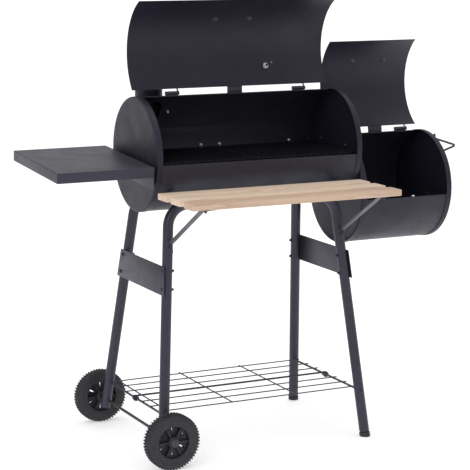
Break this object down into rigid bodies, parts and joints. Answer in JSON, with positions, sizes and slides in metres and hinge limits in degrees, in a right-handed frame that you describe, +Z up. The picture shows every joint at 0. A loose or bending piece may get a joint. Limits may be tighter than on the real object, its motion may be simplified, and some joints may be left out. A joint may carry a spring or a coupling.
{
  "type": "offset smoker",
  "caption": "Barrel smoker with a lower firebox at one end, open hinged lids, chimney, grates, side table, slatted wooden shelf and a splayed tube stand on wheels",
  "frame": {"origin": "middle of the object's footprint, on the ground", "axes": "+X along the barrel from the side table towards the firebox, +Y to the back, +Z up; the lids open at the front, -Y"},
  "size_m": [1.2248, 0.6554, 1.1699],
  "materials": {
    "black_paint": "satin heat-resistant black",
    "wood": "pale, lightly sanded and unvarnished",
    "zinc": "zinc plated",
    "grate_steel": "dark coated wire",
    "wheel_plastic": "moulded, matt"
  },
  "bodies": {
    "stand": {"axle": "zinc", "chimney_cap_ear": "black_paint", "chimney_flange": "black_paint", "chimney_pipe": "black_paint", "damper_rivet": "zinc", "firebox_end_handle": "black_paint", "firebox_hinge_left_base": "black_paint", "firebox_hinge_right_base": "black_paint", "firebox_left_cap": "black_paint", "firebox_lid_stop": "black_paint", "firebox_right_cap": "black_paint", "firebox_shell": "black_paint", "front_foot_cap": "wheel_plastic", "front_leg_frame": "black_paint", "grate_rail_front": "black_paint", "grate_rail_rear": "black_paint", "leg_brace_left": "black_paint", "leg_brace_right": "black_paint", "low_wire_shelf": "black_paint", "main_hinge_left_base": "black_paint", "main_hinge_right_base": "black_paint", "main_left_cap": "black_paint", "main_lid_stop": "black_paint", "main_right_cap": "black_paint", "main_shell": "black_paint", "rear_foot_cap": "wheel_plastic", "rear_leg_frame": "black_paint", "shelf_bracket_left": "black_paint", "shelf_bracket_right": "black_paint", "shelf_rod_left": "black_paint", "shelf_rod_right": "black_paint", "shelf_slat_front": "wood", "shelf_slat_middle": "wood", "shelf_slat_rear": "wood", "shelf_strut_left": "black_paint", "shelf_strut_right": "black_paint", "side_table": "black_paint", "table_mount": "black_paint"},
    "main_lid": {"main_lid": "black_paint", "main_lid_handle_grip": "wood", "main_lid_handle_rod": "zinc", "main_hinge_left_leaf": "black_paint", "main_hinge_right_leaf": "black_paint", "thermometer": "zinc", "thermometer_nut": "zinc"},
    "firebox_lid": {"firebox_lid": "black_paint", "firebox_lid_handle_grip": "wood", "firebox_lid_handle_rod": "zinc", "firebox_hinge_left_leaf": "black_paint", "firebox_hinge_right_leaf": "black_paint"},
    "front_wheel": {"front_wheel": "wheel_plastic"},
    "rear_wheel": {"rear_wheel": "wheel_plastic"},
    "chimney_cap": {"chimney_cap": "black_paint"},
    "air_damper": {"air_damper": "black_paint"},
    "cooking_grate_left": {"cooking_grate_left": "grate_steel"},
    "cooking_grate_right": {"cooking_grate_right": "grate_steel"},
    "charcoal_grate": {"charcoal_grate": "grate_steel"}
  },
  "joints": [
    {"name": "main_lid_hinge", "type": "hinge", "parent": "stand", "child": "main_lid", "pos_m": [-0.04244, 0.08715, 0.9269], "axis": [1, 0, 0], "range_deg": [0, 121]},
    {"name": "firebox_lid_hinge", "type": "hinge", "parent": "stand", "child": "firebox_lid", "pos_m": [0.39756, 0.08715, 0.8004], "axis": [1, 0, 0], "range_deg": [0, 135.9]},
    {"name": "front_wheel_spin", "type": "hinge", "parent": "stand", "child": "front_wheel", "pos_m": [-0.34867, -0.19125, 0.073], "axis": [0, 1, 0], "continuous": true},
    {"name": "rear_wheel_spin", "type": "hinge", "parent": "stand", "child": "rear_wheel", "pos_m": [-0.34867, 0.30275, 0.073], "axis": [0, 1, 0], "continuous": true},
    {"name": "chimney_cap_swivel", "type": "hinge", "parent": "stand", "child": "chimney_cap", "pos_m": [-0.29844, 0.16525, 1.1003], "axis": [0, 0, 1], "range_deg": [0, 110]},
    {"name": "air_damper_swivel", "type": "hinge", "parent": "stand", "child": "air_damper", "pos_m": [0.54086, 0.00575, 0.595], "axis": [1, 0, 0], "range_deg": [-45, 0]},
    {"name": "cooking_grate_left_lift", "type": "slide", "parent": "stand", "child": "cooking_grate_left", "axis": [0, 0, 1], "range_m": [0, 0.03]},
    {"name": "cooking_grate_right_lift", "type": "slide", "parent": "stand", "child": "cooking_grate_right", "axis": [0, 0, 1], "range_m": [0, 0.03]},
    {"name": "charcoal_grate_lift", "type": "slide", "parent": "stand", "child": "charcoal_grate", "axis": [0, 0, 1], "range_m": [0, 0.05]}
  ]
}
